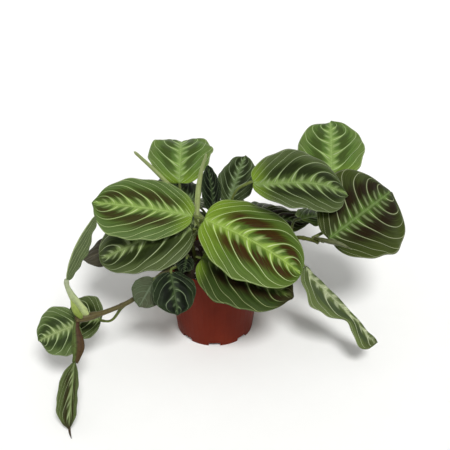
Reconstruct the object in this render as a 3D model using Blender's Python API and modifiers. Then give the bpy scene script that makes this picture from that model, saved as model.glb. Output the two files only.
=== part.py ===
"""Potted prayer plant: a maranta in a small plastic nursery pot.

Blender 4.5, metres, +Z up. The origin is the centre of the pot's foot.
+X is the plant's right and -Y its front. Design values are in millimetres
and degrees, and MM turns them into metres where a mesh is made.
"""
import bmesh
import bpy
import numpy as np
from math import cos, pi, radians, sin
from mathutils import Matrix, Vector

MM = 0.001
GAP = 0.3                 # clear gap between two pieces that touch

# Pot
POT_HEIGHT = 105.0
RIM_RADIUS = 60.0
RIM_BAND = 9.0            # height of the thickened rim
RIM_STEP = 1.8            # how far the rim stands out from the wall
FOOT_RADIUS = 46.5
WALL = 1.6
FOOT_RISE = 4.0           # the bottom plate stands this far off the table
PLATE = 2.2
HUB_RADIUS = 9.0          # the moulding gate's flat foot in the middle
NOTCHES = 8
NOTCH_WIDTH = 14.0
NOTCH_HEIGHT = 4.5
DRAIN_RADIUS = 4.0
DRAIN_CIRCLE = 28.0
POT_SEGMENTS = 48

# Soil
SOIL_LEVEL = 88.0
SOIL_MOUND = 3.0
ROOT_DEPTH = 26.0

# Leaves and stems
BLADE = 0.9               # blade thickness
STALK_RADIUS = 1.4
STALK_POINTS = 7
BLADE_CELLS_LONG = 8
BLADE_CELLS_WIDE = 6

# Shoots: radius, then the route above the soil, to the growing end.
SHOOTS = {
    "left": (2.3, [(-23, 4, 92), (-26, 6, 110), (-31, 8, 126)]),
    "front": (2.3, [(-6, -16, 92), (-8, -16, 106), (-12, -17, 117)]),
    "back": (2.2, [(6, 20, 92), (5, 23, 110), (4, 27, 124)]),
    "right": (2.2, [(26, 4, 92), (32, 6, 110), (44, 4, 126), (60, -2, 133), (78, -9, 130),
                    (98, -17, 137), (118, -32, 141)]),
    "trailing": (2.4, [(-30, -20, 92), (-42, -32, 109), (-58, -46, 108), (-74, -56, 97),
                       (-94, -71, 87), (-124, -90, 85), (-152, -101, 85)]),
}

# Leaves: the shoot and how far along it the stalk leaves, then the blade.
# base is where the blade meets its stalk. heading turns it from +X, rise lifts its tip,
# roll lifts its left half, droop bends it down along its length, fold closes its halves
# upwards, curl bends each half, ovate widens the base, tip draws out the point and sway
# carries the tip to the left, as a share of the length. bow is how far the stalk arches.
PLAIN = dict(roll=0, droop=25, fold=6, curl=-20, ovate=0.08, tip=0.03, sway=0, bow=0.4, colour="green")
LEAVES = {
    "front_large": dict(shoot="front", along=0.98, base=(-15, -14, 161), heading=-23, rise=-6, roll=20,
                        length=130, width=102, fold=8, curl=-25, ovate=0.02, tip=0, sway=-0.08,
                        colour="lime"),
    "left_large": dict(shoot="left", along=0.98, base=(-21, 0, 155), heading=171, rise=7, roll=-20,
                       length=121, width=92, droop=10, ovate=-0.12, colour="lime"),
    "left_lower": dict(shoot="left", along=0.80, base=(-22, -4, 140), heading=191, rise=6, roll=-24,
                       length=124, width=95, droop=52, ovate=0.16, tip=0, colour="dark"),
    "front_under": dict(shoot="front", along=0.74, base=(-17, -30, 118), heading=-23, rise=-3, roll=10,
                        length=114, width=97, droop=20, fold=4),
    "pot_side": dict(shoot="trailing", along=0.22, base=(-49, -55, 117), heading=-74, rise=-27, roll=-9,
                     length=50, width=52, fold=0, curl=-10, bow=0.3, colour="blue"),
    "pot_side_grey": dict(shoot="trailing", along=0.42, base=(-66, -60, 110), heading=-118, rise=-24,
                          roll=-30, length=36, width=36, droop=10, colour="under"),
    "top_left": dict(shoot="left", along=0.88, base=(-42, 60, 161), heading=90, rise=60,
                     length=84, width=79, droop=90, fold=20, curl=-34, ovate=-0.08, colour="light"),
    "back_upright": dict(shoot="back", along=0.99, base=(18, 33, 151), heading=70, rise=50, length=66,
                         width=46, droop=35, colour="dark"),
    "back_oblique": dict(shoot="back", along=0.82, base=(-1, 21, 147), heading=96, rise=66, roll=38,
                         length=54, width=31, droop=15, colour="blue"),
    "right_mid": dict(shoot="back", along=0.60, base=(41, 12, 193), heading=-3, rise=22, roll=22,
                      length=114, width=89, droop=62, ovate=-0.1, tip=0.06, sway=-0.1, colour="dark"),
    "right_under": dict(shoot="back", along=0.70, base=(40, 38, 130), heading=-4, rise=4, roll=10,
                        length=72, width=44, droop=20, colour="brown"),
    "top_right": dict(shoot="right", along=0.94, base=(140, 60, 168), heading=86, rise=36, length=102,
                      width=82, droop=38, colour="light"),
    "far_right": dict(shoot="right", along=0.99, base=(126, -37, 146), heading=38, rise=16, roll=38,
                      length=126, width=117, droop=30, fold=-2, curl=-15, ovate=-0.2, colour="brown"),
    "right_behind": dict(shoot="right", along=0.72, base=(98, 14, 142), heading=32, rise=-4,
                         length=62, width=44, colour="light"),
    "right_hanging": dict(shoot="right", along=0.66, base=(102, -30, 108), heading=-31, rise=-29, roll=-10,
                          length=123, width=52, droop=14, fold=-35, ovate=0.05, tip=0),
    "trail_up": dict(shoot="trailing", along=0.93, base=(-157, -98, 134), heading=200, rise=98,
                     length=84, width=28, droop=-36, fold=62, curl=0, bow=0.15,
                     colour="under"),
    "trail_side": dict(shoot="trailing", along=0.98, base=(-148, -97, 76), heading=210, rise=0,
                       roll=-40, length=50, width=57, droop=50, ovate=0.12),
    "trail_back": dict(shoot="trailing", along=0.70, base=(-128, -70, 58), heading=170, rise=8,
                       roll=-40, length=42, width=52, droop=10, colour="dark"),
    "trail_down": dict(shoot="trailing", along=1.0, base=(-151, -130, 52), heading=266, rise=-38,
                       roll=14, length=72, width=32, droop=6, fold=40, curl=0, ovate=-0.2, bow=0.2),
    "left_behind": dict(shoot="left", along=0.66, base=(-75, 24, 107), heading=188, rise=-4, roll=-10,
                        length=86, width=54, colour="brown"),
    "left_back": dict(shoot="back", along=0.80, base=(-24, 65, 134), heading=138, rise=22,
                      length=60, width=54, colour="dark"),
    "centre_low": dict(shoot="trailing", along=0.06, base=(-31, -30, 119), heading=-96, rise=-4, roll=0,
                       length=26, width=22, droop=10, colour="blue"),
    "rear_left": dict(shoot="back", along=0.60, base=(-20, 48, 110), heading=132, rise=-4,
                      length=94, width=66, droop=40, colour="green"),
    "rear_middle": dict(shoot="back", along=0.50, base=(4, 66, 120), heading=88, rise=-2,
                        length=92, width=70, droop=45, colour="dark"),
    "rear_right": dict(shoot="back", along=0.40, base=(44, 52, 118), heading=42, rise=-2,
                       length=98, width=74, droop=40, colour="green"),
}

# Rolled young leaves: route with the radius at each point.
SPEARS = {
    "left": [(-1, 28, 121, 1.5), (-14, 42, 125, 1.6), (-26, 52, 134, 2.0), (-41, 57, 147, 2.4),
             (-56, 57, 165, 2.6), (-74, 49, 192, 2.6), (-92, 38, 219, 2.2)],
    "right": [(-25, 12, 112, 1.6), (-22, 16, 124, 2.0), (-21, 20, 136, 2.6), (-20, 21, 156, 3.6),
              (-18, 18, 182, 3.1), (-14, 14, 208, 2.0), (-8, 10, 231, 1.1)],
}

COLOURS = {
    "green": (0.115, 0.235, 0.040), "lime": (0.235, 0.360, 0.085), "light": (0.200, 0.340, 0.090),
    "dark": (0.050, 0.110, 0.028), "blue": (0.022, 0.050, 0.032), "brown": (0.075, 0.060, 0.025),
    "under": (0.140, 0.190, 0.085), "stalk": (0.230, 0.290, 0.090), "stem": (0.130, 0.090, 0.045),
    "spear": (0.380, 0.480, 0.210), "pot": (0.150, 0.032, 0.020), "soil": (0.022, 0.014, 0.009),
}


def clear_scene():
    for item in list(bpy.data.objects):
        bpy.data.objects.remove(item, do_unlink=True)


def make_collection(name):
    group = bpy.data.collections.new(name)
    bpy.context.scene.collection.children.link(group)
    return group


def make_material(name, roughness=0.45):
    material = bpy.data.materials.new(name)
    material.use_nodes = True
    shader = material.node_tree.nodes["Principled BSDF"]
    shader.inputs["Base Color"].default_value = (*COLOURS[name], 1.0)
    shader.inputs["Roughness"].default_value = roughness
    shader.inputs["Metallic"].default_value = 0.0
    return material


def add_object(name, data, material, group):
    item = bpy.data.objects.new(name, data)
    data.materials.append(material)
    group.objects.link(item)
    return item


def add_cutter(name, mesh_builder, group):
    mesh = bpy.data.meshes.new(name)
    build = bmesh.new()
    mesh_builder(build)
    build.to_mesh(mesh)
    build.free()
    item = bpy.data.objects.new(name, mesh)
    item.hide_render = True
    item.display_type = "WIRE"
    group.objects.link(item)
    return item


def cut(item, cutter):
    modifier = item.modifiers.new(cutter.name, "BOOLEAN")
    modifier.operation = "DIFFERENCE"
    modifier.object = cutter


def turned_object(name, profile, material, group):
    """A solid of revolution. The profile runs from the axis up the inside and down the outside."""
    mesh = bpy.data.meshes.new(name)
    points = [(radius * MM, 0.0, height * MM) for radius, height in profile]
    edges = [(i, i + 1) for i in range(len(points) - 1)]
    mesh.from_pydata(points, edges, [])
    item = add_object(name, mesh, material, group)
    screw = item.modifiers.new("Turn", "SCREW")
    screw.steps = POT_SEGMENTS
    screw.render_steps = POT_SEGMENTS
    screw.use_merge_vertices = True
    screw.merge_threshold = 0.00001
    screw.use_smooth_shade = True
    return item


def wall_radius(height):
    """Outer radius of the tapering wall, below the rim band."""
    top = POT_HEIGHT - RIM_BAND
    return FOOT_RADIUS + (RIM_RADIUS - RIM_STEP - FOOT_RADIUS) * height / top


def make_pot(group, cutters):
    floor_top = FOOT_RISE + PLATE
    band = POT_HEIGHT - RIM_BAND
    profile = [
        (0, floor_top), (wall_radius(floor_top) - WALL, floor_top),
        (wall_radius(band) - WALL, band), (RIM_RADIUS - WALL, band + 2),
        (RIM_RADIUS - WALL, POT_HEIGHT - 0.5), (RIM_RADIUS - WALL + 0.5, POT_HEIGHT),
        (RIM_RADIUS - 0.5, POT_HEIGHT), (RIM_RADIUS, POT_HEIGHT - 0.5),
        (RIM_RADIUS, band), (wall_radius(band), band), (wall_radius(0), 0),
        (wall_radius(0) - 2 * WALL, 0), (wall_radius(0) - 2 * WALL, FOOT_RISE),
        (HUB_RADIUS, FOOT_RISE), (HUB_RADIUS, 0), (0, 0),
    ]
    pot = turned_object("pot", profile, make_material("pot", 0.4), group)

    def notches(build):
        for i in range(NOTCHES):
            turn = Matrix.Rotation(-pi / 2 + 2 * pi * i / NOTCHES, 4, "Z")
            size = Matrix.Diagonal((12 * MM, NOTCH_WIDTH * MM, 2 * NOTCH_HEIGHT * MM, 1.0))
            place = Matrix.Translation((FOOT_RADIUS * MM, 0, 0))
            bmesh.ops.create_cube(build, size=1.0, matrix=turn @ place @ size)

    def drains(build):
        for i in range(NOTCHES):
            angle = 2 * pi * (i + 0.5) / NOTCHES
            place = Matrix.Translation((DRAIN_CIRCLE * MM * cos(angle), DRAIN_CIRCLE * MM * sin(angle),
                                        (FOOT_RISE + PLATE / 2) * MM))
            bmesh.ops.create_cone(build, cap_ends=True, segments=16, radius1=DRAIN_RADIUS * MM,
                                  radius2=DRAIN_RADIUS * MM, depth=3 * PLATE * MM, matrix=place)

    cut(pot, add_cutter("foot_notches", notches, cutters))
    cut(pot, add_cutter("drain_holes", drains, cutters))


def make_soil(group, cutters):
    floor = FOOT_RISE + PLATE + GAP
    profile = [
        (0, floor), (wall_radius(floor) - WALL - GAP, floor),
        (wall_radius(SOIL_LEVEL) - WALL - GAP, SOIL_LEVEL),
        (0.6 * FOOT_RADIUS, SOIL_LEVEL + 0.7 * SOIL_MOUND), (0, SOIL_LEVEL + SOIL_MOUND),
    ]
    soil = turned_object("soil", profile[::-1], make_material("soil", 0.95), group)

    def root_holes(build):
        for radius, points in SHOOTS.values():
            x, y, bottom = rooted(points)[0]
            top = points[0][2] + SOIL_MOUND
            clear = (radius + 2 * GAP) * MM
            place = Matrix.Translation((x * MM, y * MM, (bottom - GAP + top) / 2 * MM))
            bmesh.ops.create_cone(build, cap_ends=True, segments=16, radius1=clear, radius2=clear,
                                  depth=(top - bottom + GAP) * MM, matrix=place)

    cut(soil, add_cutter("root_holes", root_holes, cutters))


def rooted(points, steps=1):
    """A shoot's route: straight down into the soil, then smoothly through its points."""
    x, y, _ = points[0]
    return [np.array((x, y, SOIL_LEVEL - ROOT_DEPTH), float)] + smooth_route(points, steps)


def smooth_route(points, steps):
    """Points on a Catmull-Rom curve, with a given number of steps between each two."""
    points = [np.array(p, float) for p in points]
    padded = [2 * points[0] - points[1]] + points + [2 * points[-1] - points[-2]]
    route = []
    for before, start, end, after in zip(padded, padded[1:], padded[2:], padded[3:]):
        for i in range(steps):
            t = i / steps
            route.append(0.5 * (2 * start + (end - before) * t
                                + (2 * before - 5 * start + 4 * end - after) * t**2
                                + (3 * start - before - 3 * end + after) * t**3))
    return route + [points[-1]]


def tube(name, route, radii, material, group, resolution=1):
    """A closed tube along a route in millimetres, with a radius at each point."""
    curve = bpy.data.curves.new(name, "CURVE")
    curve.dimensions = "3D"
    curve.bevel_depth = MM
    curve.bevel_resolution = resolution
    curve.use_fill_caps = True
    spline = curve.splines.new("POLY")
    spline.points.add(len(route) - 1)
    for point, place, radius in zip(spline.points, route, radii):
        point.co = (*(place * MM), 1.0)
        point.radius = radius
    spline.use_smooth = True
    return add_object(name, curve, material, group)


def leaf_axes(leaf):
    """Unit vectors along the blade, to its left and out of its upper face."""
    heading, rise, roll = (radians(leaf[key]) for key in ("heading", "rise", "roll"))
    ahead = np.array([cos(heading) * cos(rise), sin(heading) * cos(rise), sin(rise)])
    level = np.array([-sin(heading), cos(heading), 0.0])
    left = level * cos(roll) + np.cross(ahead, level) * sin(roll)
    return ahead, left, np.cross(ahead, left)


def blade_point(leaf, along, across):
    """Point of the blade's mid-surface, from a point of the unit disc."""
    tip = max(0.0, 2 * along - 1)**2 * np.exp(-(across / 0.12)**2)
    heel = max(0.0, -2 * along - 1)**2 * np.exp(-(across / 0.25)**2)
    share = (along + 1) / 2 + leaf["tip"] * tip + 0.03 * heel
    half = leaf["width"] / 2
    offset = half * across * (1 - leaf["ovate"] * along)
    side = np.sign(offset)
    fold = radians(leaf["fold"])
    curl = radians(leaf["curl"] or 0.1) / half
    reach = abs(offset)
    out = (sin(fold + curl * reach) - sin(fold)) / curl * side + leaf["sway"] * leaf["length"] * share**2
    lift = (cos(fold) - cos(fold + curl * reach)) / curl
    bend = radians(leaf["droop"])
    turn = bend * share
    arc = leaf["length"] / bend
    ahead, left, up = leaf_axes(leaf)
    forward = arc * sin(turn) + lift * sin(turn)
    height = -arc * (1 - cos(turn)) + lift * cos(turn)
    return np.array(leaf["base"], float) + forward * ahead + out * left + height * up


def make_blade(name, leaf, material, group):
    """A square grid pressed into a disc, then bent into the leaf and given its thickness."""
    mesh = bpy.data.meshes.new("blade_" + name)
    build = bmesh.new()
    bmesh.ops.create_grid(build, x_segments=BLADE_CELLS_LONG, y_segments=BLADE_CELLS_WIDE, size=1.0)
    for corner in build.verts:
        u, v = corner.co.x, corner.co.y
        along = u * (1 - v * v / 2)**0.5
        across = v * (1 - u * u / 2)**0.5
        corner.co = Vector(blade_point(leaf, along, across) * MM)
    for face in build.faces:
        face.smooth = True
    build.to_mesh(mesh)
    build.free()
    item = add_object("blade_" + name, mesh, material, group)
    solidify = item.modifiers.new("Thickness", "SOLIDIFY")
    solidify.thickness = BLADE * MM
    solidify.offset = 0.0
    return item


def make_stalk(name, leaf, material, group):
    """The leaf's stalk, from beside its shoot to just short of the blade, which it enters straight."""
    radius, points = SHOOTS[leaf["shoot"]]
    route = smooth_route(points, 8)
    place = leaf["along"] * (len(route) - 1)
    i = min(int(place), len(route) - 2)
    joint = route[i] + (route[i + 1] - route[i]) * (place - i)
    stem = (route[i + 1] - route[i]) / np.linalg.norm(route[i + 1] - route[i])
    end = np.array(leaf["base"], float) - leaf_axes(leaf)[0] * (STALK_RADIUS + GAP)
    toward = end - joint
    aside = toward - stem * toward.dot(stem)
    aside = aside / np.linalg.norm(aside)
    start = joint + aside * (radius + STALK_RADIUS + 2 * GAP)
    reach = leaf["bow"] * np.linalg.norm(end - start)
    leave = (aside + 0.9 * stem) / np.linalg.norm(aside + 0.9 * stem)
    handle = start + leave * reach
    approach = end - leaf_axes(leaf)[0] * reach
    path = []
    for k in range(STALK_POINTS):
        t = k / (STALK_POINTS - 1)
        path.append(start * (1 - t)**3 + handle * 3 * t * (1 - t)**2
                    + approach * 3 * t**2 * (1 - t) + end * t**3)
    tube("stalk_" + name, path, [STALK_RADIUS] * len(path), material, group)


def make_shoots(group):
    material = make_material("stem", 0.5)
    for name, (radius, points) in SHOOTS.items():
        route = rooted(points, 3)
        tube("shoot_" + name, route, [radius] * len(route), material, group)


def make_spears(group):
    material = make_material("spear", 0.4)
    for name, points in SPEARS.items():
        route = smooth_route(points, 3)
        tube("spear_" + name, [p[:3] for p in route], [p[3] for p in route], material, group)


def make_leaves(group):
    colours = {"stalk": make_material("stalk")}
    for name, shape in LEAVES.items():
        leaf = {**PLAIN, **shape}
        if leaf["colour"] not in colours:
            colours[leaf["colour"]] = make_material(leaf["colour"])
        make_blade(name, leaf, colours[leaf["colour"]], group)
        make_stalk(name, leaf, colours["stalk"], group)


clear_scene()
plant = make_collection("potted_prayer_plant")
tools = make_collection("cutters")
make_pot(plant, tools)
make_soil(plant, tools)
make_shoots(plant)
make_leaves(plant)
make_spears(plant)
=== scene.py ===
"""Looks of the potted prayer plant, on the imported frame.

The plant is put together from the bottom up: pot, soil, shoots, leaves, stalks,
bracts and dead tissue, and rolled young leaves. The paper, the light and the camera
come last. Lengths are in millimetres until a mesh is made, and MM turns them into
metres.
"""
import math
import random

import bmesh
import bpy
from mathutils import Matrix, Quaternion, Vector, noise


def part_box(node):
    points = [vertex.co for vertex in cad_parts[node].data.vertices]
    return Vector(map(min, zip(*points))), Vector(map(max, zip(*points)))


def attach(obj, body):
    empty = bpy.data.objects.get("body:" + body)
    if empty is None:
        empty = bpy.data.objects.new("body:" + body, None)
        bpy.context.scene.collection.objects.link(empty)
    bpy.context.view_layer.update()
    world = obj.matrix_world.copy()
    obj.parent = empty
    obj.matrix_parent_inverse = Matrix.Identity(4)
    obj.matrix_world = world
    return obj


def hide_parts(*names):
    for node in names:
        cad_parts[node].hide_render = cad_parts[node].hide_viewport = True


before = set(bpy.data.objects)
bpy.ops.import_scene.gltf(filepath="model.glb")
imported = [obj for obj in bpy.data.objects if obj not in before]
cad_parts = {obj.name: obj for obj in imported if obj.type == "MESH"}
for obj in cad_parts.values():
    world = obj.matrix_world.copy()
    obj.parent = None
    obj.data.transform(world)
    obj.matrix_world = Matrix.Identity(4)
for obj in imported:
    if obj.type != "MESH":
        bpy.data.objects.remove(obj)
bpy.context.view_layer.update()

# ---------------------------------------------------------------------------
# Pot: a tapered nursery pot, injection moulded in terracotta-red polypropylene.
# A rolled rim stiffens the thin wall, the foot is notched so that water runs
# off, and the bottom plate is drained. The skin is satin with faint flow marks.

MM = 0.001
FLOW_MARK = 9.0            # spacing of the faint moulding waves down the wall


def linear(code):
    """A colour as the shader takes it, from sRGB hex."""
    parts = [int(code[i:i + 2], 16) / 255 for i in (1, 3, 5)]
    return [*(c / 12.92 if c <= 0.04045 else ((c + 0.055) / 1.055)**2.4 for c in parts), 1.0]


def new_material(name):
    """An empty material and its node tree."""
    material = bpy.data.materials.new(name)
    material.use_nodes = True
    return material, material.node_tree


def feed(tree, socket, value):
    """Links a socket to another one or to a node's first output, or sets it to a plain value."""
    if isinstance(value, bpy.types.Node):
        value = value.outputs[0]
    if isinstance(value, bpy.types.NodeSocket):
        tree.links.new(value, socket)
    else:
        socket.default_value = value


def add(tree, kind, *values, **named):
    """Adds a node. Values fill its inputs in order. A capital names an input, lower case a setting."""
    node = tree.nodes.new("ShaderNode" + kind)
    for key, value in named.items():
        if key[0].isupper():
            feed(tree, node.inputs[key.replace("_", " ")], value)
        else:
            setattr(node, key, value)
    for socket, value in zip(node.inputs, values):
        feed(tree, socket, value)
    return node


def dress(material, **inputs):
    """Feeds the shader's own sockets, and hands the finished material back."""
    tree = material.node_tree
    for key, value in inputs.items():
        feed(tree, tree.nodes["Principled BSDF"].inputs[key.replace("_", " ")], value)
    return material


def finish_mesh(name, build, materials, smooth=True):
    """Turns a bmesh in millimetres into an object in metres at the origin."""
    bmesh.ops.scale(build, vec=(MM, MM, MM), verts=build.verts)
    for face in build.faces:
        face.smooth = smooth
    mesh = bpy.data.meshes.new(name)
    build.to_mesh(mesh)
    build.free()
    for material in materials:
        mesh.materials.append(material)
    item = bpy.data.objects.new(name, mesh)
    bpy.context.scene.collection.objects.link(item)
    return item


def moulded_polypropylene():
    """Satin moulded plastic: a soft sheen, broken by faint flow marks and a fine grain.

    The clouds in its colour are about 17 mm across, and the grain is 0.7 mm.
    """
    material, tree = new_material("moulded_polypropylene_terracotta")
    place = add(tree, "TexCoord").outputs["Object"]
    cloud = add(tree, "TexNoise", Vector=place, Scale=60.0, Detail=3.0).outputs["Fac"]
    tint = add(tree, "MixRGB", cloud, linear("#5b1c0e"), linear("#6a2514"))
    grain = add(tree, "TexNoise", Vector=place, Scale=1400.0, Detail=2.0).outputs["Fac"]
    wave = add(tree, "TexWave", bands_direction="Z", Vector=place, Scale=0.314 / (FLOW_MARK * MM),
               Distortion=2.0).outputs["Fac"]
    height = add(tree, "Math", wave, 0.35, grain, operation="MULTIPLY_ADD")
    bump = add(tree, "Bump", Height=height, Strength=0.12, Distance=0.0004)
    rough = add(tree, "MapRange", Value=cloud, To_Min=0.36, To_Max=0.5)
    return dress(material, Base_Color=tint, Roughness=rough, Normal=bump, Specular_IOR_Level=0.06)


pot_skin = moulded_polypropylene()
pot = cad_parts["pot"]
pot.data.materials.clear()
pot.data.materials.append(pot_skin)

# ---------------------------------------------------------------------------
# Soil: dark peat compost with crumbs and a few grains of white perlite,
# filled to a thumb's width below the rim and pressed down round the shoots.

soil_low, soil_high = (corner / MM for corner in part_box("soil"))
MOUND = 3.0                # how far the middle of the soil stands above its edge
SOIL_TOP = soil_high.z - MOUND
SOIL_TAPER = 13.0          # how much smaller the plug's radius is at the bottom
SOIL_RINGS = 14            # rings of faces from the edge of the soil to its middle
LUMP_HEIGHT = 1.6
LUMP_RATE = 0.12           # lumps to a millimetre
CRUMBS = 420
CRUMB_SIZES = (0.6, 1.7)
CRUMB_REACH = 52.0         # how far from the middle crumbs lie
CRUMB_SLOPE = 0.05         # how steeply they follow the mound down
PERLITE_SHARE = 0.1


def peat():
    """Damp peat: nearly black, matt and rough with 3 mm lumps, so that it swallows the light."""
    material, tree = new_material("peat_compost")
    place = add(tree, "TexCoord").outputs["Object"]
    lumps = add(tree, "TexNoise", Vector=place, Scale=320.0, Detail=6.0, Roughness=0.7).outputs["Fac"]
    tint = add(tree, "MixRGB", lumps, linear("#15100c"), linear("#4a3728"))
    bump = add(tree, "Bump", Height=lumps, Strength=0.9, Distance=0.001)
    return dress(material, Base_Color=tint, Roughness=0.95, Normal=bump)


def perlite():
    """Puffed glass: white, matt and pitted every millimetre, so that a grain reads as a bright dot."""
    material, tree = new_material("expanded_perlite")
    place = add(tree, "TexCoord").outputs["Object"]
    pores = add(tree, "TexVoronoi", Vector=place, Scale=900.0).outputs["Distance"]
    tint = add(tree, "MixRGB", pores, linear("#b9b3a6"), linear("#e6e2d8"))
    bump = add(tree, "Bump", Height=pores, Strength=0.6, Distance=0.0004)
    return dress(material, Base_Color=tint, Roughness=0.9, Normal=bump)


def soil_bed():
    """A tapered plug, its top inset ring by ring and raised into a low lumpy mound."""
    radius = soil_high.x
    build = bmesh.new()
    bmesh.ops.create_cone(build, cap_ends=True, segments=96, radius1=radius - SOIL_TAPER, radius2=radius,
                          depth=SOIL_TOP - soil_low.z,
                          matrix=Matrix.Translation((0, 0, (SOIL_TOP + soil_low.z) / 2)))
    top = [f for f in build.faces if f.normal.z > 0.9]
    for _ in range(SOIL_RINGS):
        bmesh.ops.inset_region(build, faces=top, thickness=radius / (SOIL_RINGS + 1.5), use_even_offset=True)
    for corner in build.verts:
        if corner.co.z > SOIL_TOP - 1:
            reach = corner.co.xy.length / radius
            rough = noise.fractal(corner.co * LUMP_RATE, 1.0, 2.0, 4) * LUMP_HEIGHT
            corner.co.z += (MOUND - MOUND * reach + rough) * min(1.0, 12 * (1 - reach))
    return finish_mesh("soil_bed", build, [peat()])


def crumbs():
    """Loose crumbs of peat, and among them grains of perlite, scattered over the mound."""
    rng = random.Random(4)
    build = bmesh.new()
    for _ in range(CRUMBS):
        angle = rng.uniform(0, 2 * math.pi)
        reach = CRUMB_REACH * math.sqrt(rng.random())
        size = rng.uniform(*CRUMB_SIZES)
        place = Matrix.Translation((reach * math.cos(angle), reach * math.sin(angle),
                                    SOIL_TOP + MOUND - CRUMB_SLOPE * reach + rng.uniform(-0.3, 0.6)))
        axis = (rng.random(), rng.random(), rng.random())
        turn = Quaternion(axis, rng.uniform(0, 3)).to_matrix().to_4x4()
        squash = Matrix.Diagonal((size * rng.uniform(0.8, 1.6), size, size * rng.uniform(0.5, 0.9), 1))
        made = bmesh.ops.create_icosphere(build, subdivisions=1, radius=1.0,
                                          matrix=place @ turn @ squash)
        if rng.random() < PERLITE_SHARE:
            for corner in made["verts"]:
                for face in corner.link_faces:
                    face.material_index = 1
    return finish_mesh("soil_crumbs", build, [bpy.data.materials["peat_compost"], perlite()], smooth=False)


bed = soil_bed()
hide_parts("soil")
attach(bed, "root")
crumb = crumbs()
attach(crumb, "root")

# ---------------------------------------------------------------------------
# Shoots: the plant's jointed stems. Each comes up out of the soil, swells a
# little at its joints and turns from green to brown-olive as it hardens.

STEM_SIDES = 14
CAD_SIDES = 6              # sides of the frame's own tubes
STEM_RADIUS = 2.2
STEM_GROWTH = 0.2          # how much thicker a stem is at its tip
JOINT_EVERY = 34.0         # distance between a stem's swollen joints
JOINT_SHARE = 0.16         # share of that distance that a joint takes up
JOINT_SWELL = 0.5          # how far a joint stands out
RUNNER_EXTRA = 0.4         # how much thicker the trailing shoot is all along
KNOB = 2.1                 # swelling of its last joint, which bears the trailing leaves
KNOB_PLACE = 0.94
KNOB_LENGTH = 0.07
STRIP_PLACE = 0.82         # share of the girth by which a sheath's green strip is turned


def centreline(name, start=None):
    """A CAD tube's route in millimetres, from the end nearest to start, or from its lowest end."""
    build = bmesh.new()
    build.from_mesh(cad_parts[name].data)
    bmesh.ops.remove_doubles(build, verts=build.verts, dist=0.00001)
    build.verts.index_update()
    if start is None:
        start = min(build.verts, key=lambda v: v.co.z).co / MM
    ring = set(sorted(build.verts, key=lambda v: (v.co / MM - start).length)[:CAD_SIDES])
    seen = set(ring)
    route = []
    while ring:
        in_order = sorted(ring, key=lambda v: v.index)
        route.append(sum((v.co for v in in_order), Vector()) / len(ring) / MM)
        ring = {e.other_vert(v) for v in ring for e in v.link_edges} - seen
        seen |= ring
    build.free()
    return route


def smooth_route(route, spacing):
    """The same route through a smooth curve, with a point about every so many millimetres."""
    points = [2 * route[0] - route[1], *route, 2 * route[-1] - route[-2]]
    smooth = []
    for before, start, end, after in zip(points, points[1:], points[2:], points[3:]):
        steps = max(1, round((end - start).length / spacing))
        for i in range(steps):
            t = i / steps
            smooth.append(0.5 * (2 * start + (end - before) * t
                                 + (2 * before - 5 * start + 4 * end - after) * t * t
                                 + (3 * start - before - 3 * end + after) * t**3))
    return smooth + [route[-1]]


def tube(name, route, radius_at, materials, flatten=1.0):
    """A closed tube of bridged rings. radius_at takes the share of the length and the length.

    Its map runs once around the tube, and along it in decimetres.
    """
    build = bmesh.new()
    run = build.verts.layers.float.new("run")
    spot = build.verts.layers.int.new("spot")
    lengths = [0.0]
    for a, b in zip(route, route[1:]):
        lengths.append(lengths[-1] + (b - a).length)
    turn = Vector((0, 0, 1)).rotation_difference(route[1] - route[0])
    heading = (route[1] - route[0]).normalized()
    rings = []
    for i, (middle, length) in enumerate(zip(route, lengths)):
        ahead = (route[min(i + 1, len(route) - 1)] - route[max(i - 1, 0)]).normalized()
        turn = heading.rotation_difference(ahead) @ turn
        heading = ahead
        radius = radius_at(length / lengths[-1], length)
        place = Matrix.Translation(middle) @ turn.to_matrix().to_4x4() @ Matrix.Diagonal((1, flatten, 1, 1))
        made = bmesh.ops.create_circle(build, cap_ends=i in (0, len(route) - 1), segments=STEM_SIDES,
                                       radius=radius, matrix=place)
        for number, corner in enumerate(made["verts"]):
            corner[run] = length / lengths[-1]
            corner[spot] = number
        rings.append(made["verts"])
    for lower, upper in zip(rings, rings[1:]):
        edges = dict.fromkeys(e for ring in (lower, upper) for v in ring for e in v.link_edges
                              if e.other_vert(v) in ring)
        bmesh.ops.bridge_loops(build, edges=list(edges))
    bmesh.ops.recalc_face_normals(build, faces=build.faces)
    skin_map = build.loops.layers.uv.new("skin")
    for face in build.faces:
        spots = [loop.vert[spot] for loop in face.loops]
        seam = max(spots) - min(spots) > STEM_SIDES / 2
        for loop in face.loops:
            number = loop.vert[spot] + (STEM_SIDES if seam and loop.vert[spot] < STEM_SIDES / 2 else 0)
            loop[skin_map].uv = (number / STEM_SIDES, loop.vert[run] * lengths[-1] / 100)
    return finish_mesh(name, build, materials)


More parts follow.
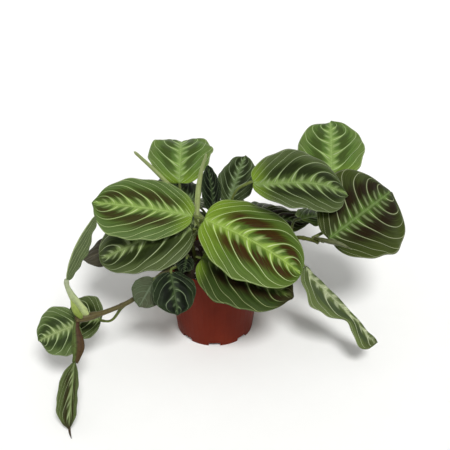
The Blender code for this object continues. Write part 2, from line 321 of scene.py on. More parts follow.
def stem_skin(name, root, tip, fleck, ribs=9, wrap=0.0, rough=0.42, strip=None):
    """Soft green tissue under a thin smooth skin: satin, finely ribbed, with 3 mm flecks.

    A rolled piece also shows the free edge of its own wall, as a thin shaded line
    that winds round it. wrap is its turns in every 100 mm. A strip is the colour of
    the green edge that an old sheath keeps along one side.
    """
    material, tree = new_material(name)
    place = add(tree, "TexCoord").outputs["Object"]
    run = add(tree, "Attribute", attribute_name="run").outputs["Fac"]
    skin = add(tree, "SeparateXYZ", add(tree, "UVMap", uv_map="skin"))
    around, length = skin.outputs[0], skin.outputs[1]
    tint = add(tree, "MixRGB", run, linear(root), linear(tip))
    if strip:
        turned = add(tree, "Math", around, STRIP_PLACE, operation="ADD")
        away = add(tree, "Math", turned, 0.5, operation="PINGPONG")
        strip_share = add(tree, "MapRange", away, 0.12, 0.18, 1.0, 0.0)
        tint = add(tree, "MixRGB", strip_share, tint, linear(strip))
    spots = add(tree, "TexNoise", Vector=place, Scale=300.0, Detail=3.0).outputs["Fac"]
    spot_share = add(tree, "MapRange", spots, 0.5, 0.72, 0.0, 0.7)
    tint = add(tree, "MixRGB", spot_share, tint, linear(fleck))
    rib = add(tree, "Math", around, 2 * math.pi * ribs, operation="MULTIPLY")
    rib = add(tree, "Math", rib, operation="SINE")
    rib = add(tree, "MapRange", rib, -1.0, 1.0, 0.0, 0.3)
    tint = add(tree, "MixRGB", rib, tint, linear(fleck))
    height = add(tree, "Math", spots, rib, operation="ADD")
    if wrap:
        winding = add(tree, "Math", length, wrap, around, operation="MULTIPLY_ADD")
        edge = add(tree, "Math", winding, 0.5, operation="PINGPONG")
        edge = add(tree, "MapRange", edge, 0.0, 0.05, 0.8, 0.0)
        tint = add(tree, "MixRGB", edge, tint, linear(fleck))
        height = add(tree, "Math", height, edge, operation="SUBTRACT")
    bump = add(tree, "Bump", Height=height, Strength=0.3, Distance=0.0003)
    return dress(material, Base_Color=tint, Roughness=rough, Normal=bump, Specular_IOR_Level=0.15)


shoot_skins = {"olive": stem_skin("maranta_stem", "#4a4a24", "#59602e", "#33301a"),
               "brown": stem_skin("maranta_runner", "#545633", "#5a5131", "#382c1d")}


def shoot_radius(share, length):
    """Radius of a shoot, with a swollen joint at even distances."""
    joint = abs((length / JOINT_EVERY) % 1 - 0.5) * 2
    swell = JOINT_SWELL * max(0.0, joint - (1 - JOINT_SHARE)) / JOINT_SHARE
    return STEM_RADIUS + swell + STEM_GROWTH * share


def runner_radius(share, length):
    """Radius of the trailing shoot, which ends in a thick joint."""
    knob = math.exp(-((share - KNOB_PLACE) / KNOB_LENGTH)**2)
    return shoot_radius(share, length) + RUNNER_EXTRA + KNOB * knob


for node in [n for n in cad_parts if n.startswith("shoot_")]:
    route = smooth_route(centreline(node), spacing=2.5)
    runner = node == "shoot_trailing"
    skin = shoot_skins["brown" if runner else "olive"]
    stem = tube(node.replace("shoot", "stem"), route, runner_radius if runner else shoot_radius, [skin])
    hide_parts(node)
    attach(stem, "root")

# ---------------------------------------------------------------------------
# Leaves: thin oval blades, satin above and dull below. A lime band with a
# feathered edge follows the midrib, pale side veins sweep to the margin, and
# dark blotches lie between them. The blade is quilted between its side veins.

CELLS_LONG = 80            # faces along a blade and across it
CELLS_WIDE = 54
CAD_CELLS_LONG = 8         # the same for the frame's own blades
CAD_CELLS_WIDE = 6
LEAF_THICKNESS = 0.5
QUILT = 1.0                # how far the blade rises between two side veins
GROOVE = 0.9               # depth of the groove over the midrib
GROOVE_WIDTH = 2.2         # from the midrib to the side of the groove
TIP_WIDTH = 0.12           # half the width of a drawn-out tip, as a share of the blade's
HEEL_WIDTH = 0.25          # the same at the base
HEEL = 0.03                # how far the base is drawn out, as a share of the length
WAVES = (2.1, 4.7)         # long and short ripples of the margin, along the blade
WAIST = (0.72, 0.17)       # where a pinched blade is narrow, and over how much of its length
NECK_LENGTH = 0.16         # share of the length over which a neck narrows the base
FIRST_VEIN = 20.5          # the count of side veins starts here, so that it never falls to zero
VEIN_WOBBLE = 0.22         # how far a side vein strays, as a share of the distance to the next
STAGGER = 0.25             # how far the veins of the two halves are out of step
CROWDING = 0.12            # how far the veins draw together towards the base and the tip
NERVE_RATE = 94.0          # fifteen fine nerves to a side vein, in radians
STREAKS = (10.0, 2.4)      # frayed streaks to a side vein, and from the midrib to the margin
FRAY = 0.36                # how far they carry the pattern's ends, as a share of the half width

# A blade's own terms: heading round from the right and rise above level of its midrib, and
# roll about it; length and width; droop along it, and fold and curl of each half, in degrees;
# ovate makes the base broader, tip draws out the tip, sway bends the midrib and wave ripples
# the margin. Of the pattern: veins to a side, how they lean and sweep forwards, and slant and
# skew, which shift the midrib at the base and at the tip. pinch and neck narrow the outline.
PLAIN = dict(roll=0, droop=25, fold=6, curl=-20, ovate=0.08, tip=0.03, sway=0, wave=1.2, veins=5.2,
             lean=0.12, sweep=0.40, slant=0.0, skew=0.0, pinch=0.0, neck=0.0, skin="green",
             under="grey_green")
LEAVES = {
    "front_large": dict(heading=-23, rise=-6, roll=20, length=130, width=102, fold=8, curl=-25, ovate=0.02,
                        tip=0, sway=-0.08, veins=5.6, sweep=0.42, skin="lime"),
    "left_large": dict(heading=171, rise=7, roll=-20, length=121, width=92, droop=10, ovate=-0.12,
                       veins=6.0, lean=0.2, skin="moss"),
    "left_lower": dict(heading=191, rise=6, roll=-24, length=124, width=95, droop=52, ovate=0.16, tip=0,
                       skew=0.45, skin="dark"),
    "front_under": dict(heading=-23, rise=-3, roll=10, length=114, width=97, droop=20, fold=4, skin="olive"),
    "pot_side": dict(heading=-74, rise=-27, roll=-9, length=50, width=52, fold=0, curl=-10, veins=3.0,
                     sweep=0.55, skin="blue"),
    "pot_side_grey": dict(heading=-118, rise=-24, roll=-30, length=36, width=36, droop=10, skin="bare"),
    "top_left": dict(heading=90, rise=60, length=84, width=79, droop=90, fold=20, curl=-34, ovate=-0.08,
                     wave=1.8, veins=4.6, skin="light"),
    "back_upright": dict(heading=70, rise=50, length=66, width=46, droop=35, wave=1.6, skin="dusk"),
    "back_oblique": dict(heading=96, rise=66, roll=38, length=54, width=31, droop=15, skin="blue"),
    "right_mid": dict(heading=-3, rise=22, roll=22, length=114, width=89, droop=62, ovate=-0.1, tip=0.06,
                      sway=-0.1, veins=5.8, slant=-0.35, skin="deep"),
    "right_under": dict(heading=-4, rise=4, roll=10, length=72, width=44, droop=20, skin="brown"),
    "top_right": dict(heading=86, rise=36, length=102, width=82, droop=38, veins=4.6, skin="light"),
    "far_right": dict(heading=38, rise=16, roll=38, length=126, width=117, droop=30, fold=-2, curl=-15,
                      ovate=-0.2, veins=6.6, lean=0.08, sweep=0.34, skin="brown"),
    "right_behind": dict(heading=32, rise=-4, length=62, width=44, skin="light"),
    "right_hanging": dict(heading=-31, rise=-29, roll=-10, length=123, width=52, droop=14, fold=-35,
                          ovate=0.05, tip=0, wave=2.4, veins=4.2, lean=0.0, sweep=0.5, slant=-0.22,
                          skew=-0.22, pinch=0.62, skin="pale"),
    "trail_up": dict(heading=200, rise=98, length=84, width=28, droop=-36, fold=62, curl=0, veins=3.0,
                     lean=1.2, sweep=0.6, neck=0.6, skin="grey", under="veined"),
    "trail_side": dict(heading=210, rise=0, roll=-40, length=50, width=57, droop=50, ovate=0.12, veins=4.8),
    "trail_back": dict(heading=170, rise=8, roll=-40, length=42, width=52, droop=10, veins=4.4, skin="dark"),
    "trail_down": dict(heading=266, rise=-38, roll=14, length=72, width=32, droop=6, fold=40, curl=0,
                       ovate=-0.2, veins=3.8, lean=0.4, sweep=0.6, neck=0.3, skin="worn"),
    "left_behind": dict(heading=188, rise=-4, roll=-10, length=86, width=54, skin="bare_brown"),
    "left_back": dict(heading=138, rise=22, length=60, width=54, skin="dusk"),
    "centre_low": dict(heading=-96, rise=-4, length=24, width=20, droop=10, veins=4.0, skin="blue"),
    "rear_left": dict(heading=132, rise=-4, length=94, width=66, droop=40),
    "rear_middle": dict(heading=88, rise=-2, length=92, width=70, droop=45, skin="dark"),
    "rear_right": dict(heading=42, rise=-2, length=98, width=74, droop=40, skin="olive"),
}

# Upper skins: midrib band, side veins, ground between the veins, blotch, margin, how wide
# the band is, how far the young lime colour reaches from the stalk, and how dry the tip is.
SKINS = {
    "lime": ("#88a346", "#b6c48c", "#425a1b", "#351d09", "#50642a", 1.0, 0.34, 0.0),
    "moss": ("#849f50", "#b4c288", "#445a22", "#332e14", "#566a3a", 1.0, 0.14, 0.0),
    "light": ("#829c54", "#a2b280", "#4c672c", "#3b4a1f", "#5c7038", 1.4, 0.2, 0.0),
    "green": ("#869660", "#aab88c", "#435429", "#2b361c", "#58683e", 1.0, 0.0, 0.0),
    "pale": ("#a0a982", "#b0b798", "#48552c", "#38432a", "#5f6c3f", 0.5, 0.0, 0.2),
    "grey": ("#8c9c68", "#a3ae8c", "#54663e", "#3c4a2c", "#5e6f48", 0.6, 0.1, 0.2),
    "worn": ("#8b9a68", "#a3ad86", "#445029", "#2e2a15", "#4e5a32", 1.3, 0.0, 0.7),
    # olive is the leaf skin darkened for front_under and rear_right, which lie under other leaves: that
    # darkness is painted shade. Its dry tip is real.
    "olive": ("#5a7030", "#8f9a68", "#2a3a13", "#23160a", "#35431d", 1.0, 0.1, 0.7),
    "dark": ("#809458", "#a8b48a", "#36421c", "#20290e", "#4e5a36", 1.0, 0.0, 0.0),
    "dusk": ("#62764a", "#8b987a", "#333f20", "#1e2611", "#465235", 1.3, 0.0, 0.0),
    "deep": ("#748c4c", "#96a27c", "#34421b", "#1d240d", "#4a5632", 1.4, 0.14, 0.0),
    "brown": ("#587434", "#959b78", "#2b3313", "#1d1106", "#3a441c", 0.5, 0.0, 0.0),
    "blue": ("#3a4a2a", "#6a775b", "#182112", "#0d120a", "#222d19", 0.6, 0.0, 0.0),
}
YOUNG_TISSUE = "#718c2a"
DRY_TISSUE = "#2a1c12"


def leaf_skin(name, colours):
    """Living epidermis with a thin wax: satin, with its pattern in the tissue below.

    The eye sees a soft broad sheen that breaks on the fine nerves, never a mirror.
    The leaf's own map gives the share of the length and the place from margin to
    margin. The vein map counts the side veins, with a whole number on each vein.
    """
    band, vein, ground, blotch, margin = (linear(c) for c in colours[:5])
    wide, young, dry = colours[5:]
    material, tree = new_material(name)

    def within(*edges, share=1.0):
        """A share that fades out at soft edges, each a value, where it's nothing and where it's whole."""
        for value, start, end in edges:
            low, high = min(start, end), max(start, end)
            edge = add(tree, "MapRange", value, low, high, float(start > end), float(start < end),
                       interpolation_type="SMOOTHSTEP")
            share = add(tree, "Math", share, edge, operation="MULTIPLY")
        return share

    place = add(tree, "TexCoord").outputs["Object"]
    leaf_map = add(tree, "SeparateXYZ", add(tree, "UVMap", uv_map="leaf"))
    vein_map = add(tree, "SeparateXYZ", add(tree, "UVMap", uv_map="veins"))
    along, phase, across = leaf_map.outputs[0], vein_map.outputs[0], vein_map.outputs[1]
    side = add(tree, "Math", leaf_map.outputs[1], 0.5, operation="SUBTRACT")
    side = add(tree, "Math", side, operation="SIGN")
    near_vein = add(tree, "Math", phase, 0.5, operation="PINGPONG")
    cell = add(tree, "Math", phase, operation="FRACT")
    which = add(tree, "CombineXYZ", add(tree, "Math", phase, operation="FLOOR"), side)
    chance = add(tree, "TexWhiteNoise", Vector=which).outputs["Value"]
    cloud = add(tree, "TexNoise", Vector=place, Scale=38.0, Detail=3.0).outputs["Fac"]
    streak_place = add(tree, "CombineXYZ", add(tree, "Math", phase, STREAKS[0], operation="MULTIPLY"),
                       add(tree, "Math", across, STREAKS[1], operation="MULTIPLY"), side)
    streak = add(tree, "TexNoise", Vector=streak_place, Scale=1.0, Detail=3.0).outputs["Fac"]
    ragged = add(tree, "Math", across, FRAY / 2, operation="SUBTRACT")
    ragged = add(tree, "Math", streak, FRAY, ragged, operation="MULTIPLY_ADD")

    # Ground: paler towards the margin and in clouds of 26 mm, and young lime near the stalk.
    pale = add(tree, "Math", cloud, 0.25, operation="MULTIPLY")
    pale = add(tree, "Math", within((across, 0.5, 0.95)), 0.85, pale, operation="MULTIPLY_ADD",
               use_clamp=True)
    colour = add(tree, "MixRGB", pale, ground, margin)
    if young:
        lime = within((along, young + 0.1, 0.0), share=0.85)
        colour = add(tree, "MixRGB", lime, colour, linear(YOUNG_TISSUE))

    # Blotches: one between each two veins, its ends frayed along the veins.
    inner_end = add(tree, "Math", chance, 0.12, ragged, operation="MULTIPLY_ADD")
    outer_end = add(tree, "Math", chance, 0.18, ragged, operation="MULTIPLY_ADD")
    blotched = within((inner_end, 0.24, 0.38), (outer_end, 0.80, 0.56), (cell, 0.03, 0.10),
                      (cell, 0.98, 0.80), (along, 0.10, 0.32), (along, 1.0, 0.9), (streak, 0.26, 0.48),
                      share=0.94)
    colour = add(tree, "MixRGB", blotched, colour, blotch)

    # Band: lime beside the midrib, running out softly along each vein, and thin at the tip.
    fade = add(tree, "Math", within((along, 0.98, 0.78)), 0.7, 0.3, operation="MULTIPLY_ADD")
    half_band = add(tree, "Math", within((along, 0.5, 0.0)), 0.07 * wide, 0.05 * wide,
                    operation="MULTIPLY_ADD")
    reach = add(tree, "Math", within((near_vein, 0.24, 0.0), share=fade), 0.18 + 0.07 * wide, half_band,
                operation="MULTIPLY_ADD")
    reach = add(tree, "Math", reach, ragged, operation="SUBTRACT")
    colour = add(tree, "MixRGB", within((reach, -0.1, 0.08), share=0.85), colour, band)

    # Teeth: a thin bright spike of the band between each two veins, and a bright midrib.
    spike = add(tree, "Math", chance, 0.10, 0.14, operation="MULTIPLY_ADD")
    spike = add(tree, "Math", spike, ragged, operation="SUBTRACT")
    bright = [0.5 * a + 0.5 * b for a, b in zip(band, vein)]
    toothed = within((near_vein, 0.37, 0.47), (across, 0.02, 0.07), (spike, -0.07, 0.05),
                     share=add(tree, "Math", fade, 0.7, operation="MULTIPLY"))
    colour = add(tree, "MixRGB", toothed, colour, bright)
    midrib = [0.7 * a + 0.3 * b for a, b in zip(band, vein)]
    colour = add(tree, "MixRGB", within((across, 0.03, 0.014), share=0.5), colour, midrib)

    # Veins: a thin pale line on each side vein, and another just inside the margin.
    vein_edge = add(tree, "Math", across, -0.008, 0.030, operation="MULTIPLY_ADD")
    off_vein = add(tree, "Math", near_vein, vein_edge, operation="SUBTRACT")
    vein_share = within((off_vein, 0.014, -0.014), (across, 0.02, 0.12))
    colour = add(tree, "MixRGB", add(tree, "Math", vein_share, 0.95, operation="MULTIPLY"), colour, vein)
    colour = add(tree, "MixRGB", within((across, 0.955, 0.975), (across, 0.998, 0.98), share=0.35), colour,
                 vein)
    if dry:
        parched = add(tree, "Math", streak, 0.1, along, operation="MULTIPLY_ADD")
        colour = add(tree, "MixRGB", within((parched, 0.92, 1.04), share=dry), colour, linear(DRY_TISSUE))

    # Fine parallel nerves, drawn 1.2 mm apart where the real ones are about 0.4 mm.
    nerve = add(tree, "Math", phase, NERVE_RATE, operation="MULTIPLY")
    nerve = add(tree, "Math", nerve, operation="SINE")
    nerve = add(tree, "Math", nerve, 0.5, 0.5, operation="MULTIPLY_ADD")
    shade = add(tree, "Math", streak, 1.5, 0.13, operation="MULTIPLY_ADD")
    shade = add(tree, "Math", nerve, 0.24, shade, operation="MULTIPLY_ADD")
    colour = add(tree, "MixRGB", 1.0, colour, shade, blend_type="MULTIPLY")
    height = add(tree, "Math", vein_share, -1.0, operation="MULTIPLY")
    height = add(tree, "Math", nerve, 0.4, height, operation="MULTIPLY_ADD")
    bump = add(tree, "Bump", Height=height, Strength=0.3, Distance=0.0003)
    rough = add(tree, "MapRange", Value=cloud, To_Min=0.40, To_Max=0.54)
    return dress(material, Base_Color=colour, Roughness=rough, Normal=bump, Specular_IOR_Level=0.06)


def leaf_underside(name, ground, vein, blush):
    """The lower skin, without wax: dull and even, with raised paler veins and a faint blush."""
    material, tree = new_material(name)
    place = add(tree, "TexCoord").outputs["Object"]
    vein_map = add(tree, "SeparateXYZ", add(tree, "UVMap", uv_map="veins"))
    phase, across = vein_map.outputs[0], vein_map.outputs[1]
    near_vein = add(tree, "Math", phase, 0.5, operation="PINGPONG")
    line = add(tree, "MapRange", near_vein, 0.02, 0.07, 0.6, 0.0)
    rib = add(tree, "MapRange", across, 0.03, 0.08, 0.8, 0.0)
    raised = add(tree, "Math", line, rib, operation="MAXIMUM")
    cloud = add(tree, "TexNoise", Vector=place, Scale=55.0, Detail=3.0).outputs["Fac"]
    blush_share = add(tree, "MapRange", cloud, 0.42, 0.7, 0.0, 0.6)
    nerve = add(tree, "Math", phase, NERVE_RATE, operation="MULTIPLY")
    nerve = add(tree, "Math", nerve, operation="SINE")
    nerve = add(tree, "MapRange", nerve, -1.0, 1.0, 0.0, 0.25)
    colour = add(tree, "MixRGB", blush_share, linear(ground), linear(blush))
    colour = add(tree, "MixRGB", nerve, colour, linear(vein))
    colour = add(tree, "MixRGB", raised, colour, linear(vein))
    bump = add(tree, "Bump", Height=raised, Strength=0.4, Distance=0.0004)
    return dress(material, Base_Color=colour, Roughness=0.6, Normal=bump, Specular_IOR_Level=0.1)


def leaf_axes(leaf):
    """Unit vectors along the blade, to its left and out of its upper face."""
    heading, rise, roll = (math.radians(leaf[key]) for key in ("heading", "rise", "roll"))
    ahead = Vector((math.cos(heading) * math.cos(rise), math.sin(heading) * math.cos(rise), math.sin(rise)))
    level = Vector((-math.sin(heading), math.cos(heading), 0))
    left = level * math.cos(roll) + ahead.cross(level) * math.sin(roll)
    return ahead, left, ahead.cross(left)


def blade_point(leaf, along, across, raised=0.0, widened=1.0):
    """Point of the blade from a point of the unit disc, with the blade's base at zero."""
    tip = max(0.0, 2 * along - 1)**2 * math.exp(-(across / TIP_WIDTH)**2)
    heel = max(0.0, -2 * along - 1)**2 * math.exp(-(across / HEEL_WIDTH)**2)
    share = (along + 1) / 2 + leaf["tip"] * tip + HEEL * heel
    half = leaf["width"] / 2
    offset = half * across * (1 - leaf["ovate"] * along) * widened
    fold = math.radians(leaf["fold"])
    curl = math.radians(leaf["curl"] or 0.1) / half
    reach = abs(offset)
    out = math.copysign((math.sin(fold + curl * reach) - math.sin(fold)) / curl, offset)
    out += leaf["sway"] * leaf["length"] * share**2
    lift = (math.cos(fold) - math.cos(fold + curl * reach)) / curl + raised
    bend = math.radians(leaf["droop"])
    turn = bend * share
    arc = leaf["length"] / bend
    ahead, left, up = leaf_axes(leaf)
    return ((arc + lift) * math.sin(turn) * ahead + out * left
            + (lift * math.cos(turn) - arc * (1 - math.cos(turn))) * up)


def disc_point(u, v):
    """A square pressed into a disc, so that the blade needs no pole."""
    return u * math.sqrt(1 - v * v / 2), v * math.sqrt(1 - u * u / 2)


def leaf_place(leaf, along, across):
    """Share of the length, and place from the midrib to the margin as -1 to 1."""
    half = math.sqrt(max(1e-4, 1 - along * along))
    share = (along + 1) / 2
    side = max(-1.0, min(1.0, across / half))
    drift = leaf["slant"] * (1 - share) + leaf["skew"] * share**2
    return share, side - drift * (1 - side * side)


def blade_base(name, leaf):
    """Where the blade meets its stalk, from the middle of its CAD node's box."""
    longwise = [2 * i / CAD_CELLS_LONG - 1 for i in range(CAD_CELLS_LONG + 1)]
    crosswise = [2 * i / CAD_CELLS_WIDE - 1 for i in range(CAD_CELLS_WIDE + 1)]
    points = [blade_point(leaf, *disc_point(u, v)) for u in longwise for v in crosswise]
    low = Vector(min(p[i] for p in points) for i in range(3))
    high = Vector(max(p[i] for p in points) for i in range(3))
    node_low, node_high = (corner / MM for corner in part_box("blade_" + name))
    return (node_low + node_high) / 2 - (low + high) / 2


def vein_count(leaf, share, side, half, seed):
    """Side veins passed on the way from the base, which is whole on each vein."""
    reach = abs(side)
    wobble = VEIN_WOBBLE * noise.noise(Vector((3 * share, 1.5 * side, seed)))
    root = share - leaf["lean"] * reach - leaf["sweep"] * reach**2
    crowding = CROWDING * math.sin(2 * math.pi * root)
    return FIRST_VEIN + leaf["veins"] * root + crowding + STAGGER * half + wobble


def uneven_margin(leaf, share, side, lead, swing):
    """How far the margin strays from a plain oval, with the waist of a pinched blade."""
    half = math.copysign(1.3, side)
    stray = 0.025 * math.sin(10 * share + lead + half) + 0.015 * math.sin(23 * share + swing - half)
    waist = leaf["pinch"] * (0.13 - math.exp(-((share - WAIST[0]) / WAIST[1])**2))
    neck = leaf["neck"] * math.exp(-(share / NECK_LENGTH)**2)
    blunt = max(0.02, 1 - (2 * share - 1)**2)**(-0.5 * leaf["pinch"]) if share > 0.5 else 1.0
    return (1 + stray + waist - neck) * blunt


def make_leaf(name, leaf, base, materials):
    """A blade from a grid pressed to a disc, mapped, bent, quilted, rippled and given its thickness."""
    rng = random.Random(name)
    lead, swing, seed = rng.uniform(0, 6.3), rng.uniform(0, 6.3), rng.uniform(0, 50)
    build = bmesh.new()
    bmesh.ops.create_grid(build, x_segments=CELLS_LONG, y_segments=CELLS_WIDE, size=1.0)
    leaf_map = build.loops.layers.uv.new("leaf")
    vein_map = build.loops.layers.uv.new("veins")
    for face in build.faces:
        middle = leaf_place(leaf, *disc_point(*face.calc_center_median().xy))[1]
        half = math.copysign(0.5, middle)
        for loop in face.loops:
            share, side = leaf_place(leaf, *disc_point(*loop.vert.co.xy))
            loop[leaf_map].uv = (share, 0.5 + 0.5 * (side or 0.001 * half))
            loop[vein_map].uv = (vein_count(leaf, share, side, half, seed), abs(side))
    for corner in build.verts:
        along, across = disc_point(*corner.co.xy)
        share, side = leaf_place(leaf, along, across)
        rim = math.hypot(along, across)
        count = vein_count(leaf, share, side, math.copysign(0.5, side), seed)
        quilt = QUILT * (0.5 - 0.5 * math.cos(2 * math.pi * count)) * min(1, 4 * abs(side)) * (1 - rim**6)
        groove = -GROOVE * math.exp(-(side * leaf["width"] / 2 / GROOVE_WIDTH)**2) * (1 - share)
        ripple = leaf["wave"] * rim**5 * (
            math.sin(2 * math.pi * WAVES[0] * share + lead + side)
            + 0.6 * math.sin(2 * math.pi * WAVES[1] * share + swing - 2 * side))
        widened = uneven_margin(leaf, share, across, lead, swing)
        corner.co = base + blade_point(leaf, along, across, quilt + groove + ripple, widened)
    item = finish_mesh("leaf_" + name, build, materials)
    solidify = item.modifiers.new("Thickness", "SOLIDIFY")
    solidify.thickness = LEAF_THICKNESS * MM
    solidify.offset = 0.0
    solidify.material_offset = 1
    solidify.material_offset_rim = 1
    return item


upper = {key: leaf_skin("leaf_skin_" + key, colours) for key, colours in SKINS.items()}
under = {"grey_green": leaf_underside("leaf_underside", "#434f36", "#616e56", "#413c2e"),
         "veined": leaf_underside("leaf_underside_veined", "#3c4a28", "#9caa7a", "#2c3321"),
         "brown": leaf_underside("leaf_underside_brown", "#3a372b", "#585444", "#302b25")}
upper.update(bare=under["grey_green"], bare_brown=under["brown"])
bases = {}
for name, shape in LEAVES.items():
    leaf = {**PLAIN, **shape}
    bases[name] = blade_base(name, leaf)
    blade = make_leaf(name, leaf, bases[name], [upper[leaf["skin"]], under[leaf["under"]]])
    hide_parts("blade_" + name)
    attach(blade, "root")

# ---------------------------------------------------------------------------
# Stalks: each leaf's stalk clasps its shoot with a channelled sheath, thins
# above it and ends in a short swollen knee that tilts the blade by day and night.

STALK_RADIUS = 1.35
KNEE = 0.45                # how much thicker a stalk is at its knee
KNEE_PLACE = 0.93
KNEE_LENGTH = 0.06
INTO_SHOOT = 1.8           # how far a stalk runs on into its shoot, and into its blade
INTO_BLADE = 3.0
FORWARD = 0.7              # how far a stalk that bulges sideways also comes forward
STALK_SKINS = {
    "plain": stem_skin("leaf_stalk", "#5b6431", "#66743a", "#454722"),
    "pale": stem_skin("young_sheath", "#b6c47e", "#9ba288", "#84906a", ribs=4, rough=0.5),
    "brown": stem_skin("old_sheath", "#452c1c", "#483a20", "#2c1c10", rough=0.6, strip="#4c5e2c"),
}

# Stalks with a broad sheath or a bulge: skin, radius at the foot, widest radius and where that
# is, radius below the blade, how flat the sheath is and how far it bulges to the right.
PLAIN_SHEATH = ("plain", 1.9, 1.9, 0.0, STALK_RADIUS, 1.0, 0.0)
SHEATHED = {
    "trail_up": ("pale", 3.4, 5.8, 0.14, 2.4, 0.75, 0.0),
    "trail_down": ("brown", 3.0, 7.4, 0.6, 3.2, 0.4, 4.0),
    "pot_side": ("plain", 1.9, 1.9, 0.0, STALK_RADIUS, 1.0, 2.5),
    "far_right": ("plain", 1.9, 2.4, 0.3, STALK_RADIUS, 0.7, 0.0),
    "left_large": ("plain", 1.9, 2.2, 0.2, STALK_RADIUS, 0.8, 0.0),
    "front_large": ("plain", 1.9, 2.2, 0.2, STALK_RADIUS, 0.8, 0.0),
}


def stalk_radius(foot, widest, place, top):
    """Radius along a stalk: the sheath, the thin stalk and the knee below the blade."""
    def radius_at(share, length):
        end, away = (foot, 1 - share / place) if share < place else (top, (share - place) / (1 - place))
        away *= away * (3 - 2 * away)
        return widest + (end - widest) * away + KNEE * math.exp(-((share - KNEE_PLACE) / KNEE_LENGTH)**2)
    return radius_at


feet = {}
for name in LEAVES:
    node = "stalk_" + name
    route = centreline(node, bases[name])[::-1]
    feet[name] = route[0]
    ahead = leaf_axes({**PLAIN, **LEAVES[name]})[0]
    start = route[0] + (route[0] - route[1]).normalized() * INTO_SHOOT
    skin, foot, widest, place, top, flatten, belly = SHEATHED.get(name, PLAIN_SHEATH)
    route = smooth_route([start, *route, bases[name] + ahead * INTO_BLADE], spacing=2.0)
    for i, point in enumerate(route):
        swell = belly * math.sin(math.pi * i / (len(route) - 1))
        point.x += swell
        point.y -= FORWARD * swell
    radius_at = stalk_radius(foot, widest, place, top)
    stalk = tube("petiole_" + name, route, radius_at, [STALK_SKINS[skin]], flatten)
    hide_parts(node)
    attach(stalk, "root")

# ---------------------------------------------------------------------------
# Bracts and dead tissue: a short pointed bract beside the runner's pale sheath,
# an old sheath folded over the far right leaf, and the dried tip of the lowest leaf.

POINT = 0.2                # radius at a piece's pointed end
bract_skin = stem_skin("fresh_bract", "#7a8e34", "#98a65c", "#5f7030", ribs=4)
# The folded sheath is grey-olive. Its lighter grey towards the point is a painted highlight.
old_sheath_skin = stem_skin("folded_sheath", "#484a28", "#6e7454", "#3a3a22", ribs=6, rough=0.36)
dry_skin = stem_skin("dried_tip", "#4a3a2a", "#3a2a1e", "#241a12", ribs=3, rough=0.7)


def pointed(widest, place):
    """Radius of a piece that swells to its widest place and runs out to a point."""
    def radius_at(share, length):
        if share < place:
            return widest * (0.6 + 0.4 * math.sin(math.pi / 2 * share / place))
        return POINT + (widest - POINT) * math.cos(math.pi / 2 * (share - place) / (1 - place))
    return radius_at


lowest_leaf = {**PLAIN, **LEAVES["trail_down"]}
lowest_tip = bases["trail_down"] + blade_point(lowest_leaf, 1.0, 0.0)
EXTRAS = [                 # place, route from it, widest radius and where that is, how flat, skin
    ("bract", feet["trail_up"], [(-4, -7, 0), (-9, -9, 12), (-13, -9, 27)], 4.0, 0.35, 0.6, bract_skin),
    ("folded_sheath", bases["far_right"], [(-12, 6, 0), (0, -5, 3), (14, -11, 3), (27, -16, -1)], 5.0, 0.5,
     0.5, old_sheath_skin),
    ("dried_tip", lowest_tip, [(0, 3, 2), (1, -3, -1), (4, -11, -2)], 1.3, 0.2, 0.6, dry_skin),
]
for name, place, steps, widest, widest_at, flatten, skin in EXTRAS:
    route = smooth_route([place + Vector(step) for step in steps], spacing=1.5)
    extra = tube(name, route, pointed(widest, widest_at), [skin], flatten)
    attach(extra, "root")

# ---------------------------------------------------------------------------
# Rolled young leaves: each new blade comes up as a tight pale spear, wound on
# itself. The skin is satin, and the winding shows as one fine shaded line.

SPEARS = {                 # radius at the foot, widest radius and where that is, radius at the tip
    "spear_left": (2.2, 2.8, 0.35, 1.8),
    "spear_right": (2.0, 3.4, 0.42, 1.3),
}
BLUNT_END = 0.04           # share of the length that the rounded end takes up
spear_skin = stem_skin("rolled_leaf", "#cbdb8a", "#868f66", "#8c9860", ribs=5, wrap=1.6)


def furled(foot, widest, place, tip):
    """Radius of a rolled leaf: widest low down, then a long taper to a blunt end."""
    def radius_at(share, length):
        end, away = (foot, 1 - share / place) if share < place else (tip, (share - place) / (1 - place))
        blunt = math.sqrt(max(0.05, 1 - (max(0.0, share - (1 - BLUNT_END)) / BLUNT_END)**2))
        return (widest + (end - widest) * away**1.5) * blunt
    return radius_at


for node, radii in SPEARS.items():
    route = smooth_route(centreline(node), spacing=2.0)
    spear = tube("rolled_" + node, route, furled(*radii), [spear_skin])
    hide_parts(node)
    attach(spear, "root")

# ---------------------------------------------------------------------------
# Backdrop, light and camera: a pale paper bowl all round, under a broad soft
# overhead light, so that the plant stands clear from every side.

SWEEP_RADIUS = 3200.0
SWEEP_FILLET = 1400.0      # radius of the bend from the floor up to the wall
SWEEP_WALL = 2200.0        # how high the paper stands
CAMERA_PLACE = (0.0125, -0.850, 0.695)
CAMERA_PITCH = 33.0
LENS = 70.0
SENSOR = 36.0
SKY_STRENGTH = 0.42
LAMP_STRENGTH = 2.5
LAMP_SPREAD = 18.0         # degrees across, as soft as a large overhead box
LAMP_FROM = (0.2, -0.65, 1.0)


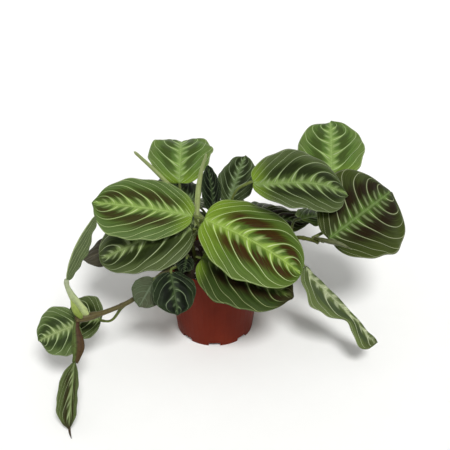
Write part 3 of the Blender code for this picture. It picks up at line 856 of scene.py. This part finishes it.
def pale_paper():
    """Matt paper: almost white and without gloss, faintly clouded by its pulp every 25 mm."""
    material, tree = new_material("pale_paper")
    place = add(tree, "TexCoord").outputs["Object"]
    pulp = add(tree, "TexNoise", Vector=place, Scale=40.0, Detail=2.0).outputs["Fac"]
    tint = add(tree, "MixRGB", pulp, linear("#f3f3f1"), linear("#f5f5f3"))
    return dress(material, Base_Color=tint, Roughness=0.9)


def paper_sweep():
    """The paper's profile, from the middle of the floor up the wall, spun once round."""
    build = bmesh.new()
    flat = SWEEP_RADIUS - SWEEP_FILLET
    bends = [math.radians(90 * i / 12) for i in range(13)]
    curve = [(flat + SWEEP_FILLET * math.sin(a), SWEEP_FILLET * (1 - math.cos(a))) for a in bends]
    profile = [build.verts.new((x, 0, z)) for x, z in [(0, 0), *curve, (SWEEP_RADIUS, SWEEP_WALL)]]
    edges = [build.edges.new(pair) for pair in zip(profile, profile[1:])]
    bmesh.ops.spin(build, geom=profile + edges, axis=(0, 0, 1), cent=(0, 0, 0), angle=2 * math.pi, steps=72,
                   use_merge=True)
    bmesh.ops.remove_doubles(build, verts=build.verts, dist=0.01)
    bmesh.ops.recalc_face_normals(build, faces=build.faces)
    lowest = min(build.faces, key=lambda f: f.calc_center_median().xy.length)
    if lowest.normal.z < 0:
        bmesh.ops.reverse_faces(build, faces=build.faces)
    return finish_mesh("paper_sweep", build, [pale_paper()])


paper_sweep()

world = bpy.data.worlds.new("studio")
world.use_nodes = True
world.node_tree.nodes["Background"].inputs["Color"].default_value = (1.0, 1.0, 1.0, 1.0)
world.node_tree.nodes["Background"].inputs["Strength"].default_value = SKY_STRENGTH
bpy.context.scene.world = world

lamp = bpy.data.lights.new("overhead", "SUN")
lamp.energy = LAMP_STRENGTH
lamp.angle = math.radians(LAMP_SPREAD)
overhead = bpy.data.objects.new("overhead", lamp)
overhead.rotation_euler = Vector(LAMP_FROM).to_track_quat("Z", "Y").to_euler()
bpy.context.scene.collection.objects.link(overhead)

camera = bpy.data.cameras.new("camera")
camera.lens = LENS
camera.sensor_width = SENSOR
viewer = bpy.data.objects.new("camera", camera)
viewer.location = CAMERA_PLACE
viewer.rotation_euler = (math.radians(90 - CAMERA_PITCH), 0, 0)
bpy.context.scene.collection.objects.link(viewer)
bpy.context.scene.camera = viewer
bpy.context.scene.view_settings.view_transform = "Standard"
